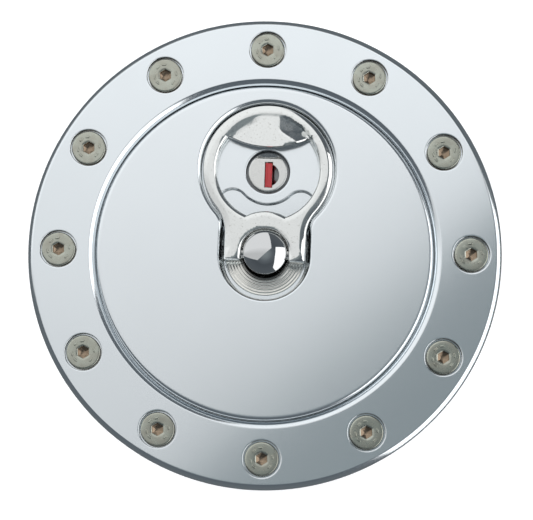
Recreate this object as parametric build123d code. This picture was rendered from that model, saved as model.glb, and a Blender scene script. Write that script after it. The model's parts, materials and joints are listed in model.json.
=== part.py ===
from build123d import *
import math
import os

# Locking deck fill cap. Origin: centre of the mounting plane, at the gasket's underside.
# +Z points out of the deck, +Y towards the lever's free end. All sizes in mm.

FACE_Z = 6.5
FLANGE_R = 66.0
PLATE_Z = 1.5
HUB_R = 50.0
HUB_BOTTOM = -6.0
BORE_R = 44.5
POCKET_R = 47.4
LEDGE_Z = 0.5
SEAM_CHAMFER = 1.6
RIM_CHAMFER = 1.3
RIM_DROP = 1.0

SCREW_COUNT = 12
SCREW_CIRCLE_R = 57.5
FIRST_SCREW_DEG = 91.3
SCREW_THREAD_R = 2.5
SCREW_SHANK_R = 2.2
SCREW_HEAD_R = 4.75
SCREW_SEAT_Z = 3.6
SCREW_TOP_Z = 6.3
SCREW_END_Z = -14.0
HEX_ACROSS = 3.0
DASH_ANGLES = (12, 98, 134, 192, 226, 318)

NECK_OUTER_R = 46.5
NECK_BOTTOM = -40.0
NECK_SHOULDER_Z = -6.5
SOCKET_R = 45.6
SOCKET_TOP = -2.5

LID_R = 47.0
LID_EDGE_RADIUS = 1.1
LID_SEAT_Z = 0.8
PLUG_R = 44.1
PLUG_BOTTOM = -6.0
FLOOR_Z = -2.0
LAND_Z = 2.0
BOSS_R = 10.0
BOSS_BOTTOM = -14.0

RECESS_Y = 23.5
RECESS_BIG_R = 18.75
RECESS_SMALL_R = 11.95
RECESS_SMALL_Y = -1.0
RECESS_CHAMFER = 0.85
SHELF_Z = 0.9
SHELF_Y = 9.6

LOCK_Y = 23.3
LAND_R = 15.6
WAVE_R = 9.2
PIVOT_Z = 2.3
DOME_R = 6.1
DOME_CURVE = 10.0
DOME_TOP = 7.5

LEVER_TOP = 6.3
LEVER_UNDER = 2.6
LEVER_ROUND = 1.0
FORK_GAP_R = 6.6
SWING_RELIEF_R = 7.15
SWING_RELIEF_HALF = 6.4
SCOOP_R = 110.0
SCOOP_RISE = 109.0
RING_OUTER_R = 18.2
RING_OPENING_R = 14.2
ARM_HALF = 11.4
TAIL_Y = -2.6
CAM_R = 3.3
CAM_OFFSET = 0.75

BARREL_R = 5.7
CAM_PLATE_TOP = -9.8
CAM_PLATE_BOTTOM = -11.6


def turned(points):
    """Solid of revolution about Z from (radius, z) corners."""
    return revolve(Plane.XZ * make_face(Polyline(*points, close=True)), Axis.Z)


def disc(radius, low, high, x=0.0, y=0.0):
    return Pos(x, y, (low + high) / 2) * Cylinder(radius, high - low)


def block(x0, x1, y0, y1, z0, z1):
    return Pos((x0 + x1) / 2, (y0 + y1) / 2, (z0 + z1) / 2) * Box(x1 - x0, y1 - y0, z1 - z0)


def cross_rod(radius, half_length, y, z):
    return Pos(0, y, z) * Rot(0, 90, 0) * Cylinder(radius, 2 * half_length)


def ring_torus(major, minor, z):
    return Pos(0, 0, z) * Torus(major, minor)


def screw_places():
    for index in range(SCREW_COUNT):
        angle = FIRST_SCREW_DEG + index * 360 / SCREW_COUNT
        x = SCREW_CIRCLE_R * math.cos(math.radians(angle))
        y = SCREW_CIRCLE_R * math.sin(math.radians(angle))
        yield x, y


def flange_ring():
    body = turned([
        (HUB_R, HUB_BOTTOM),
        (SOCKET_R, HUB_BOTTOM),
        (SOCKET_R, SOCKET_TOP),
        (BORE_R, SOCKET_TOP),
        (BORE_R, LEDGE_Z),
        (POCKET_R, LEDGE_Z),
        (POCKET_R, FACE_Z - SEAM_CHAMFER),
        (POCKET_R + SEAM_CHAMFER, FACE_Z),
        (FLANGE_R - RIM_CHAMFER, FACE_Z),
        (FLANGE_R, FACE_Z - RIM_DROP),
        (FLANGE_R, PLATE_Z),
        (HUB_R, PLATE_Z),
    ])
    for x, y in screw_places():
        body -= disc(SCREW_THREAD_R + 0.25, 0, FACE_Z, x, y)
        body -= disc(SCREW_HEAD_R + 0.4, SCREW_SEAT_Z, FACE_Z + 1, x, y)
    return body


def flange_gasket():
    body = disc(FLANGE_R - 0.5, 0, PLATE_Z) - disc(HUB_R + 0.3, -1, PLATE_Z + 1)
    for x, y in screw_places():
        body -= disc(SCREW_THREAD_R + 0.2, -1, PLATE_Z + 1, x, y)
    return body


def one_screw():
    head = disc(SCREW_HEAD_R, SCREW_SEAT_Z, SCREW_TOP_Z)
    head = fillet(head.edges().group_by(Axis.Z)[-1], 0.55)
    well = disc(4.0, SCREW_TOP_Z - 0.18, SCREW_TOP_Z + 1) - disc(2.15, SCREW_TOP_Z - 1, SCREW_TOP_Z + 2)
    head -= well
    for angle in DASH_ANGLES:
        dash = block(2.75, 3.25, -0.55, 0.55, SCREW_TOP_Z - 0.3, SCREW_TOP_Z - 0.02)
        head += Rot(0, 0, angle) * dash
    hexagon = Pos(0, 0, SCREW_TOP_Z - 1.7) * Rot(0, 0, 4) * RegularPolygon(HEX_ACROSS / math.sqrt(3), 6)
    head -= extrude(Rot(0, 0, 30) * hexagon, 3)
    thread = disc(SCREW_THREAD_R, SCREW_END_Z, -0.6)
    thread = chamfer(thread.edges().group_by(Axis.Z)[0], 0.6)
    return head + thread + disc(SCREW_SHANK_R, SCREW_END_Z + 2, SCREW_SEAT_Z + 0.5)


def mounting_screws():
    screw = one_screw()
    return Compound(children=[Pos(x, y, 0) * screw for x, y in screw_places()])


def filler_neck():
    return turned([
        (BORE_R, NECK_BOTTOM),
        (NECK_OUTER_R - 0.8, NECK_BOTTOM),
        (NECK_OUTER_R, NECK_BOTTOM + 0.8),
        (NECK_OUTER_R, NECK_SHOULDER_Z),
        (SOCKET_R - 0.05, NECK_SHOULDER_Z),
        (SOCKET_R - 0.05, SOCKET_TOP - 0.05),
        (BORE_R, SOCKET_TOP - 0.05),
    ])


def keyhole(big_r, small_r, small_y, side, corner_radius):
    """Keyhole outline: a big circle, a small circle and straight sides, blended."""
    low = Pos(0, small_y) * Circle(small_r)
    strip = Pos(0, (small_y + 12) / 2) * Rectangle(2 * side, 12 - small_y)
    outline = Pos(0, RECESS_Y) * Circle(big_r) + strip + low
    corner_y = RECESS_Y - math.sqrt(big_r ** 2 - side ** 2)
    corners = [v for v in outline.vertices() if abs(v.Y - corner_y) < 0.05 and abs(abs(v.X) - side) < 0.05]
    return fillet(corners, corner_radius)


def land():
    """Raised pad round the lock, with a wavy edge towards the pivot."""
    lobe_x = 9.6
    lobe_y = 14.0
    spacing = math.hypot(lobe_x, LOCK_Y - lobe_y)
    lobe_r = spacing - WAVE_R
    meet_x = lobe_x * WAVE_R / spacing
    meet_y = LOCK_Y - (LOCK_Y - lobe_y) * WAVE_R / spacing
    end_x = lobe_x + lobe_r
    wave = ThreePointArc((-meet_x, meet_y), (0, LOCK_Y - WAVE_R), (meet_x, meet_y))
    right = ThreePointArc((meet_x, meet_y), (lobe_x, lobe_y + lobe_r), (end_x, lobe_y))
    left = ThreePointArc((-meet_x, meet_y), (-lobe_x, lobe_y + lobe_r), (-end_x, lobe_y))
    frame = Polyline((end_x, lobe_y), (25, lobe_y), (25, 0), (-25, 0), (-25, lobe_y), (-end_x, lobe_y))
    pad = Pos(0, LOCK_Y) * Circle(LAND_R) - make_face(Curve() + [wave, right, left, frame])
    solid = extrude(Pos(0, 0, FLOOR_Z) * pad, LAND_Z - FLOOR_Z)
    return chamfer(solid.edges().group_by(Axis.Z)[-1], 0.35)


def lid_body():
    body = turned([
        (0, PLUG_BOTTOM),
        (PLUG_R - 0.6, PLUG_BOTTOM),
        (PLUG_R, PLUG_BOTTOM + 0.6),
        (PLUG_R, -4.7),
        (42.2, -4.7),
        (42.2, -2.1),
        (PLUG_R, -2.1),
        (PLUG_R, LID_SEAT_Z),
        (LID_R, LID_SEAT_Z),
        (LID_R, FACE_Z),
        (0, FACE_Z),
    ])
    rim = body.edges().filter_by(GeomType.CIRCLE).group_by(Axis.Z)[-1]
    body = fillet(rim, LID_EDGE_RADIUS)
    hole = keyhole(RECESS_BIG_R, RECESS_SMALL_R, RECESS_SMALL_Y, RECESS_SMALL_R, 7.0)
    recess = extrude(Pos(0, 0, FLOOR_Z) * hole, FACE_Z - FLOOR_Z + 2)
    body -= recess
    edges = body.edges().group_by(Axis.Z)[-1].filter_by(lambda e: abs(e.center().X) < 30 and e.length < 80)
    body = chamfer(edges, RECESS_CHAMFER)
    body += recess & block(-20, 20, SHELF_Y, 45, FLOOR_Z, SHELF_Z)
    body += land()
    body += disc(BOSS_R, BOSS_BOTTOM, PLUG_BOTTOM + 1)
    body -= disc(11.3, FLOOR_Z - 1.0, FLOOR_Z + 0.5)
    body -= disc(7.0, BOSS_BOTTOM - 1, FLOOR_Z)
    body -= disc(7.2, BOSS_BOTTOM - 1, -11.9)
    body -= disc(6.2, -1.1, LAND_Z + 1, 0, LOCK_Y)
    body -= disc(BARREL_R + 0.05, PLUG_BOTTOM - 1, 0, 0, LOCK_Y)
    body -= block(-5.4, 5.4, 32.6, 38.9, PLUG_BOTTOM - 1, LAND_Z + 1)
    return body


def lid_o_ring():
    return ring_torus(43.2, 1.0, -3.4)


def cam_washer():
    body = disc(11.2, FLOOR_Z - 1.0, FLOOR_Z) - disc(5.4, FLOOR_Z - 2, FLOOR_Z + 1)
    for radius in (7.4, 8.3, 9.2, 10.1):
        body -= ring_torus(radius, 0.12, FLOOR_Z)
    return body


def spindle_bush():
    return disc(7.0, -11.9, FLOOR_Z - 1.0) - disc(5.05, -13, 0)


def spindle_o_ring():
    return ring_torus(6.2, 0.95, -12.95)


def seal_retainer():
    return disc(9.5, BOSS_BOTTOM - 0.8, BOSS_BOTTOM) - disc(5.3, BOSS_BOTTOM - 2, BOSS_BOTTOM + 1)


def spindle():
    dome = Pos(0, 0, DOME_TOP - DOME_CURVE) * Sphere(DOME_CURVE) & disc(DOME_R, -0.2, DOME_TOP + 1)
    body = dome + disc(5.0, -16, 0) + disc(4.0, -30, -15)
    body = chamfer(body.edges().group_by(Axis.Z)[0], 0.7)
    return body - cross_rod(1.5, 10, 0, PIVOT_Z)


def cross_pin():
    pin = cross_rod(1.5, 10.9, 0, PIVOT_Z)
    return chamfer(pin.edges().filter_by(GeomType.CIRCLE), 0.25)


def pressure_plate():
    body = disc(43.8, -19, -16) - disc(4.05, -20, -15)
    body = chamfer(body.edges().group_by(Axis.Z)[0].sort_by(SortBy.LENGTH)[-1:], 0.8)
    return body


def spindle_washer():
    return disc(8.0, -20.6, -19) - disc(4.1, -22, -18)


def spindle_nut():
    hexagon = Pos(0, 0, -27.1) * RegularPolygon(13 / math.sqrt(3), 6)
    return extrude(hexagon, 6.5) - disc(4.0, -28, -20)


def seal_ring():
    body = disc(44.2, -16, PLUG_BOTTOM) - disc(38.5, -17, -5)
    for z in (-13.0, -9.0):
        body -= ring_torus(44.6, 1.0, z)
    return body


def lever_outline():
    outline = keyhole_plate()
    opening = Pos(0, RECESS_Y) * Circle(RING_OPENING_R)
    opening -= Circle(11.6)
    opening -= Pos(0, 54.4) * Circle(24.7)
    outline -= opening
    outline -= Circle(FORK_GAP_R)
    outline -= Pos(0, -5) * Rectangle(2 * FORK_GAP_R, 10)
    return outline


def keyhole_plate():
    plate = Pos(0, RECESS_Y) * Circle(RING_OUTER_R)
    plate += Pos(0, (TAIL_Y + 12) / 2) * Rectangle(2 * ARM_HALF, 12 - TAIL_Y)
    corner_y = RECESS_Y - math.sqrt(RING_OUTER_R ** 2 - ARM_HALF ** 2)
    corners = [v for v in plate.vertices() if abs(v.Y - corner_y) < 0.05]
    plate = fillet(corners, 11.0)
    tails = [v for v in plate.vertices() if abs(v.Y - TAIL_Y) < 0.01]
    return fillet(tails, 1.0)


def lever_side():
    """Side outline of the lever in Y-Z: flat bar, square tail and eccentric cam foot."""
    upper = Pos(0, (PIVOT_Z + LEVER_TOP) / 2) * Rectangle(-2 * TAIL_Y, LEVER_TOP - PIVOT_Z)
    cam = Pos(CAM_OFFSET, PIVOT_Z - CAM_OFFSET) * Circle(CAM_R)
    bar = Pos(21, (LEVER_TOP + LEVER_UNDER) / 2) * Rectangle(42, LEVER_TOP - LEVER_UNDER)
    arm = Pos(3.5, (LEVER_TOP + 1) / 2) * Rectangle(7, LEVER_TOP - 1)
    return upper + cam + bar + arm


def lever():
    plate = extrude(Pos(0, 0, -2.2) * lever_outline(), LEVER_TOP + 2.2)
    top_rim = plate.faces().sort_by(Axis.Z)[-1].outer_wire().edges()
    plate = fillet(top_rim, LEVER_ROUND)
    side = extrude(Plane.YZ * lever_side(), 20, both=True)
    body = plate & side
    body -= Pos(0, 24.45, LEVER_TOP + SCOOP_RISE) * Sphere(SCOOP_R)
    body -= swing_relief()
    body -= cross_rod(1.54, 20, 0, PIVOT_Z)
    for x in (-3.0, 3.0):
        body -= disc(0.9, 0, 3.6, x, 36.4)
    return body


def swing_relief():
    """Ball hollow in the fork, 0.3 mm wider than the path of the dome's rim about the pin."""
    ball = Pos(0, 0, PIVOT_Z) * Sphere(SWING_RELIEF_R)
    return ball & block(-SWING_RELIEF_HALF, SWING_RELIEF_HALF, 0, 12, 0, 12)


def striker():
    body = block(-5, 5, 33, 34.8, -13.6, LEVER_UNDER)
    body -= block(-3.4, 6, 32, 36, -12.2, -9.2)
    body += block(-5, 5, 33, 38, LEVER_UNDER - 1.5, LEVER_UNDER)
    for x in (-3.0, 3.0):
        body -= disc(0.9, 0, 3.6, x, 36.4)
    return body


def striker_rivets():
    rivets = []
    for x in (-3.0, 3.0):
        shank = disc(0.9, 0.6, 3.6, x, 36.4)
        head = disc(1.4, 0.6, LEVER_UNDER - 1.5, x, 36.4)
        rivets.append(shank + head)
    return Compound(children=rivets)


def lock_barrel():
    body = disc(6.15, -0.5, 0.2, 0, LOCK_Y) + disc(BARREL_R, -9.5, 0, 0, LOCK_Y)
    body -= disc(4.65, -10, 2, 0, LOCK_Y)
    return body


def barrel_seal():
    return disc(6.15, -1.1, -0.5, 0, LOCK_Y) - disc(BARREL_R, -2, 0, 0, LOCK_Y)


def lock_nut():
    hexagon = Pos(0, LOCK_Y, -8.4) * RegularPolygon(15 / math.sqrt(3), 6)
    return extrude(hexagon, 2.4) - disc(BARREL_R, -9, -5, 0, LOCK_Y)


def wafer_levels():
    return [-1.9 - 1.4 * step for step in range(4)]


def wafers():
    plates = []
    for z in wafer_levels():
        plate = block(-1.6, 1.9, LOCK_Y - 4.2, LOCK_Y + 3.1, z, z + 0.7)
        plate -= block(-0.9, 1.3, LOCK_Y - 3.6, LOCK_Y + 2.4, z - 1, z + 2)
        plates.append(plate)
    return Compound(children=plates)


def shutter_pin():
    return Pos(-0.45, LOCK_Y - 0.7, 0.75) * Rot(90, 0, 0) * Cylinder(0.2, 8.0)


def lock_plug():
    body = disc(5.5, 0.25, 1.6, 0, LOCK_Y) + disc(4.6, -9.7, 1, 0, LOCK_Y)
    body = fillet(body.edges().group_by(Axis.Z)[-1], 0.25)
    body -= block(-6, 6, LOCK_Y + 4.1, LOCK_Y + 6, 0.9, 3)
    body += block(-2.5, 2.5, LOCK_Y - 2.5, LOCK_Y + 2.5, CAM_PLATE_BOTTOM, -9)
    body -= block(-0.9, 1.3, LOCK_Y - 4.35, LOCK_Y + 2.95, -7.8, 3)
    dish = disc(3.3, 0.7, 3, -0.2, LOCK_Y - 0.75) & block(1.2, 6, 0, 40, 0, 4)
    body -= dish
    for z in wafer_levels():
        body -= block(-1.65, 1.95, LOCK_Y - 4.3, LOCK_Y + 3.2, z - 0.05, z + 0.75)
    body -= disc(2.0, -12, -8.6, 0, LOCK_Y)
    return body - shutter_pin()


def dust_shutter():
    hub = Pos(-0.45, LOCK_Y - 0.7, 0.75) * Rot(90, 0, 0) * Cylinder(0.4, 7.1)
    plate = block(-0.45, 1.2, LOCK_Y - 4.25, LOCK_Y + 2.85, 0.6, 1.0)
    bore = Pos(-0.45, LOCK_Y - 0.7, 0.75) * Rot(90, 0, 0) * Cylinder(0.23, 9)
    return hub + plate - bore


def lock_cam():
    body = disc(4.5, CAM_PLATE_BOTTOM, CAM_PLATE_TOP, 0, LOCK_Y)
    body += block(0, 8.8, LOCK_Y - 2.5, LOCK_Y + 2.5, CAM_PLATE_BOTTOM, CAM_PLATE_TOP)
    body += disc(2.5, CAM_PLATE_BOTTOM, CAM_PLATE_TOP, 8.8, LOCK_Y)
    body -= block(-2.5, 2.5, LOCK_Y - 2.5, LOCK_Y + 2.5, -13, -9)
    return body


def cam_screw_washer():
    return disc(4.5, CAM_PLATE_BOTTOM - 0.6, CAM_PLATE_BOTTOM, 0, LOCK_Y) - disc(2.0, -14, -10, 0, LOCK_Y)


def cam_screw():
    top = CAM_PLATE_BOTTOM - 0.6
    body = disc(3.4, top - 2.2, top, 0, LOCK_Y)
    body = fillet(body.edges().group_by(Axis.Z)[0], 0.8)
    body += disc(2.0, top - 1, -8.8, 0, LOCK_Y)
    body -= block(-4, 4, LOCK_Y - 0.45, LOCK_Y + 0.45, top - 3, top - 1.4)
    return body


NODES = {
    "flange_ring": flange_ring,
    "flange_gasket": flange_gasket,
    "mounting_screws": mounting_screws,
    "filler_neck": filler_neck,
    "lid_body": lid_body,
    "lid_o_ring": lid_o_ring,
    "cam_washer": cam_washer,
    "spindle_bush": spindle_bush,
    "spindle_o_ring": spindle_o_ring,
    "seal_retainer": seal_retainer,
    "seal_ring": seal_ring,
    "spindle": spindle,
    "cross_pin": cross_pin,
    "pressure_plate": pressure_plate,
    "spindle_washer": spindle_washer,
    "spindle_nut": spindle_nut,
    "lever": lever,
    "striker": striker,
    "striker_rivets": striker_rivets,
    "lock_barrel": lock_barrel,
    "barrel_seal": barrel_seal,
    "lock_nut": lock_nut,
    "lock_plug": lock_plug,
    "wafers": wafers,
    "shutter_pin": shutter_pin,
    "dust_shutter": dust_shutter,
    "lock_cam": lock_cam,
    "cam_screw_washer": cam_screw_washer,
    "cam_screw": cam_screw,
}

os.makedirs("parts", exist_ok=True)
for name, make in NODES.items():
    export_step(make(), f"parts/{name}.step")
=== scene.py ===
import json
import math
import bmesh
import bpy
from mathutils import Matrix, Vector
from mathutils.geometry import delaunay_2d_cdt


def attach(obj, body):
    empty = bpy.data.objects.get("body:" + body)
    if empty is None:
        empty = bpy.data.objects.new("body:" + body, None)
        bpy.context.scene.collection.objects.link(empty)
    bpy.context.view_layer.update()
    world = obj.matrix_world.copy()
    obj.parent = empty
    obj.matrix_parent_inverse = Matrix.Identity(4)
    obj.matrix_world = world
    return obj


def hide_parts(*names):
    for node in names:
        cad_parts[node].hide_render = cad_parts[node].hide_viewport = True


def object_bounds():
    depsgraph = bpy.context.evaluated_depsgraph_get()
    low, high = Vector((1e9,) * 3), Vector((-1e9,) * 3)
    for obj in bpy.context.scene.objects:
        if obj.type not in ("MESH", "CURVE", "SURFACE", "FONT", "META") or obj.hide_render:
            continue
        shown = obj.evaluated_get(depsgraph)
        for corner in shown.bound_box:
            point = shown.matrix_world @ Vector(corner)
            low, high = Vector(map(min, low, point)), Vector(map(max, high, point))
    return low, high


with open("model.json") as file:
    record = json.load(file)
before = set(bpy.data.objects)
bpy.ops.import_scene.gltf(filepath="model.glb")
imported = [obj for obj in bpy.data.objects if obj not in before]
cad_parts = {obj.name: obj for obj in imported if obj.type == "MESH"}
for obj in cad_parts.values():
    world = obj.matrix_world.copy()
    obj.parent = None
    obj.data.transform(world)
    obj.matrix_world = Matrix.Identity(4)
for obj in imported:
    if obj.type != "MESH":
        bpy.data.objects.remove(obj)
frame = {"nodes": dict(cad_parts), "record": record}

CAD_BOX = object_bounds()
TAU = 2 * math.pi
MM = 0.001

FACE_Z = 6.5
LAND_Z = 2.0
LEVER_TOP = 6.3
LEVER_UNDER = 2.6
PIVOT_Z = 2.3
RECESS_Y = 23.5
LOCK_Y = 23.3
SCREW_TOP = 6.3
FORK_GAP_R = 6.6
ARM_HALF = 11.4
TAIL_Y = -2.6
RING_OUTER_R = 18.2
RING_OPENING_R = 14.4
BRIDGE_R = 11.6
LIP_Y = 54.4
LIP_R = 24.7
LAND_R = 15.6
KEY_SLOT = (-0.9, 1.3, LOCK_Y - 4.35, LOCK_Y + 2.95)
NOTCH_CENTRE = (-0.2, LOCK_Y - 0.75)
NOTCH_R = 3.3
PLUG_R = 5.5
PLUG_FLAT = 4.1
SCREW_COUNT = 12
SCREW_CIRCLE_R = 57.5
FIRST_SCREW_DEG = 91.3


# ---------------------------------------------------------------- materials

class Nodes:
    """Small helper to build a node tree in a few readable lines."""

    def __init__(self, name):
        self.material = bpy.data.materials.new(name)
        self.material.use_nodes = True
        self.tree = self.material.node_tree
        self.tree.nodes.clear()
        self.out = self.add("ShaderNodeOutputMaterial")
        self.shader = self.add("ShaderNodeBsdfPrincipled")
        self.link(self.shader, "BSDF", self.out, "Surface")
        self.coords = self.add("ShaderNodeTexCoord")

    def add(self, kind, **values):
        node = self.tree.nodes.new(kind)
        for key, value in values.items():
            if hasattr(node, key):
                setattr(node, key, value)
            else:
                node.inputs[key].default_value = value
        return node

    def link(self, source, output, target, socket):
        self.tree.links.new(source.outputs[output], target.inputs[socket])

    def noise(self, scale, detail=2.0, stretch=None, rough=0.5):
        node = self.add("ShaderNodeTexNoise", Scale=scale, Detail=detail, Roughness=rough)
        if stretch:
            mapping = self.add("ShaderNodeMapping", Scale=stretch)
            self.link(self.coords, "Object", mapping, "Vector")
            self.link(mapping, "Vector", node, "Vector")
        else:
            self.link(self.coords, "Object", node, "Vector")
        return node

    def remap(self, node, low, high, to_low, to_high, output="Fac"):
        mapped = self.add("ShaderNodeMapRange", **{"From Min": low, "From Max": high,
                                                    "To Min": to_low, "To Max": to_high})
        self.link(node, output, mapped, "Value")
        return mapped

    def ramp(self, node, stops, output="Fac"):
        ramp = self.add("ShaderNodeValToRGB")
        elements = ramp.color_ramp.elements
        while len(elements) > 1:
            elements.remove(elements[-1])
        elements[0].position = stops[0][0]
        elements[0].color = (*stops[0][1], 1)
        for position, colour in stops[1:]:
            element = elements.new(position)
            element.color = (*colour, 1)
        self.link(node, output, ramp, "Fac")
        return ramp

    def bump(self, node, strength, distance_mm, output="Fac", below=None):
        bump = self.add("ShaderNodeBump", Strength=strength, Distance=distance_mm * MM)
        self.link(node, output, bump, "Height")
        if below:
            self.link(below, "Normal", bump, "Normal")
        self.link(bump, "Normal", self.shader, "Normal")
        return bump


def mixed(a, b, share):
    return tuple(a[i] * (1 - share) + b[i] * share for i in range(3))


def satin_alloy(name, colour, rough):
    """Fine blasted and anodised aluminium: even grain and faint cloudy tone."""
    m = Nodes(name)
    grain = m.noise(3200, 3.0)
    cloud = m.noise(45, 2.0)
    tone = m.ramp(cloud, [(0.3, mixed(colour, (0.6, 0.62, 0.66), 0.06)), (0.7, colour)])
    m.link(tone, "Color", m.shader, "Base Color")
    m.shader.inputs["Metallic"].default_value = 1.0
    roughness = m.remap(grain, 0.3, 0.7, rough - 0.035, rough + 0.035)
    m.link(roughness, "Result", m.shader, "Roughness")
    soft = m.bump(cloud, 0.05, 0.02)
    m.bump(grain, 0.16, 0.012, below=soft)
    return m.material


def turned_metal(name, colour, rough, pitch_mm=0.5, depth_mm=0.01, painted_shade_r=0.0):
    """Metal with fine lathe rings round the Z axis; inside a radius its colour is painted dark as shade."""
    m = Nodes(name)
    wave = m.add("ShaderNodeTexWave", wave_type="RINGS", rings_direction="Z",
                 Scale=0.5 / (pitch_mm * MM) / 3.14159, Distortion=0.4, Detail=1.0)
    m.link(m.coords, "Object", wave, "Vector")
    grain = m.noise(1800, 2.0)
    m.shader.inputs["Base Color"].default_value = (*colour, 1)
    if painted_shade_r:
        reach = m.add("ShaderNodeVectorMath", operation="LENGTH")
        flat = m.add("ShaderNodeVectorMath", operation="MULTIPLY")
        flat.inputs[1].default_value = (1, 1, 0)
        m.link(m.coords, "Object", flat, 0)
        m.link(flat, "Vector", reach, 0)
        share = m.remap(reach, (painted_shade_r - 0.5) * MM, (painted_shade_r + 0.5) * MM, 0.0, 1.0, "Value")
        # Painted shade: inside the radius the colour is darkened almost to black.
        tone = m.ramp(share, [(0.0, mixed(colour, (0.02, 0.02, 0.02), 0.93)), (1.0, colour)], "Result")
        m.link(tone, "Color", m.shader, "Base Color")
    m.shader.inputs["Metallic"].default_value = 1.0
    roughness = m.remap(grain, 0.3, 0.7, rough - 0.05, rough + 0.05)
    m.link(roughness, "Result", m.shader, "Roughness")
    m.bump(wave, 0.3, depth_mm)
    return m.material


def cast_steel(name, colour, rough):
    """Polished cast stainless steel with small pits and soft unevenness."""
    m = Nodes(name)
    pits = m.noise(1500, 4.0, rough=0.7)
    fine = m.noise(4200, 2.0)
    swell = m.noise(160, 2.0)
    patch = m.noise(240, 3.0)
    speck = m.ramp(pits, [(0.30, mixed(colour, (0.28, 0.26, 0.22), 0.45)), (0.42, colour)])
    m.link(speck, "Color", m.shader, "Base Color")
    m.shader.inputs["Metallic"].default_value = 1.0
    roughness = m.remap(patch, 0.35, 0.7, rough - 0.05, rough + 0.09)
    m.link(roughness, "Result", m.shader, "Roughness")
    first = m.bump(swell, 0.10, 0.05)
    second = m.bump(pits, 0.12, 0.02, below=first)
    m.bump(fine, 0.08, 0.01, below=second)
    return m.material


def bright_steel(name, colour, rough, scale=900, strength=0.04):
    m = Nodes(name)
    scuff = m.noise(scale, 3.0)
    m.shader.inputs["Base Color"].default_value = (*colour, 1)
    m.shader.inputs["Metallic"].default_value = 1.0
    roughness = m.remap(scuff, 0.3, 0.75, max(rough - 0.03, 0.02), rough + 0.05)
    m.link(roughness, "Result", m.shader, "Roughness")
    m.bump(scuff, strength, 0.01)
    return m.material


def screw_steel(name, colour, rough):
    """Stainless screw heads: pressed face with slight stains and handling marks, and painted shade in the hex
    socket.
    """
    m = Nodes(name)
    stain = m.noise(420, 4.0, rough=0.6)
    fine = m.noise(3000, 2.0)
    tone = m.ramp(stain, [(0.32, mixed(colour, (0.36, 0.32, 0.26), 0.4)), (0.62, colour)])
    # Painted shade: inside the hex socket and down the head's side the colour turns dark brown.
    height = m.add("ShaderNodeSeparateXYZ")
    m.link(m.coords, "Object", height, "Vector")
    depth = m.remap(height, 0.0030, 0.0062, 0.0, 1.0, "Z")
    socket = m.ramp(depth, [(0.20, (0, 0, 0)), (0.25, (1, 1, 1)), (0.62, (1, 1, 1)), (0.97, (0, 0, 0))], "Result")
    blend = m.add("ShaderNodeMix", data_type="RGBA")
    m.link(socket, "Color", blend, "Factor")
    m.link(tone, "Color", blend, 6)
    blend.inputs[7].default_value = (0.33, 0.25, 0.18, 1)
    m.link(blend, 2, m.shader, "Base Color")
    m.shader.inputs["Metallic"].default_value = 1.0
    roughness = m.remap(stain, 0.3, 0.7, rough + 0.06, rough - 0.04)
    m.link(roughness, "Result", m.shader, "Roughness")
    m.bump(fine, 0.12, 0.012)
    return m.material


def soft_plastic(name, colour, rough, scale=900, strength=0.15):
    m = Nodes(name)
    grain = m.noise(scale, 3.0)
    tone = m.ramp(grain, [(0.3, mixed(colour, (0, 0, 0), 0.18)), (0.7, colour)])
    m.link(tone, "Color", m.shader, "Base Color")
    roughness = m.remap(grain, 0.3, 0.7, rough - 0.06, rough + 0.06)
    m.link(roughness, "Result", m.shader, "Roughness")
    m.bump(grain, strength, 0.02)
    return m.material


MATERIALS = {
    "flange_alloy": satin_alloy("flange_alloy", (0.80, 0.845, 0.875), 0.145),
    "lid_alloy": satin_alloy("lid_alloy", (0.82, 0.862, 0.89), 0.19),
    "neck_alloy": turned_metal("neck_alloy", (0.72, 0.73, 0.75), 0.34, 0.6),
    "plate_alloy": turned_metal("plate_alloy", (0.70, 0.71, 0.73), 0.36, 0.5),
    "screw_steel": screw_steel("screw_steel", (0.46, 0.48, 0.42), 0.26),
    "lever_steel": cast_steel("lever_steel", (0.785, 0.80, 0.79), 0.10),
    "dome_chrome": bright_steel("dome_chrome", (0.62, 0.63, 0.635), 0.035, 500, 0.01),
    # The washer is painted near black inside 6.9 mm: painted shade round the foot of the dome.
    "washer_steel": turned_metal("washer_steel", (0.80, 0.795, 0.755), 0.17, 0.31, 0.004, 6.9),
    # lock_chrome is near black: painted shade for the gap round the plug and the hollow beside the key slot.
    "lock_chrome": bright_steel("lock_chrome", (0.17, 0.175, 0.18), 0.22),
    "plug_chrome": bright_steel("plug_chrome", (0.72, 0.725, 0.71), 0.24, 1600, 0.08),
    "inner_steel": bright_steel("inner_steel", (0.60, 0.60, 0.59), 0.30),
    "brass": bright_steel("brass", (0.76, 0.58, 0.28), 0.28),
    "bush_plastic": soft_plastic("bush_plastic", (0.80, 0.78, 0.72), 0.5),
    "red_plastic": soft_plastic("red_plastic", (0.30, 0.018, 0.022), 0.38, 700, 0.10),
    "gasket_rubber": soft_plastic("gasket_rubber", (0.030, 0.030, 0.031), 0.72),
    "seal_rubber": soft_plastic("seal_rubber", (0.022, 0.022, 0.023), 0.6),
}


# ---------------------------------------------------------------- mesh tools

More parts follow.
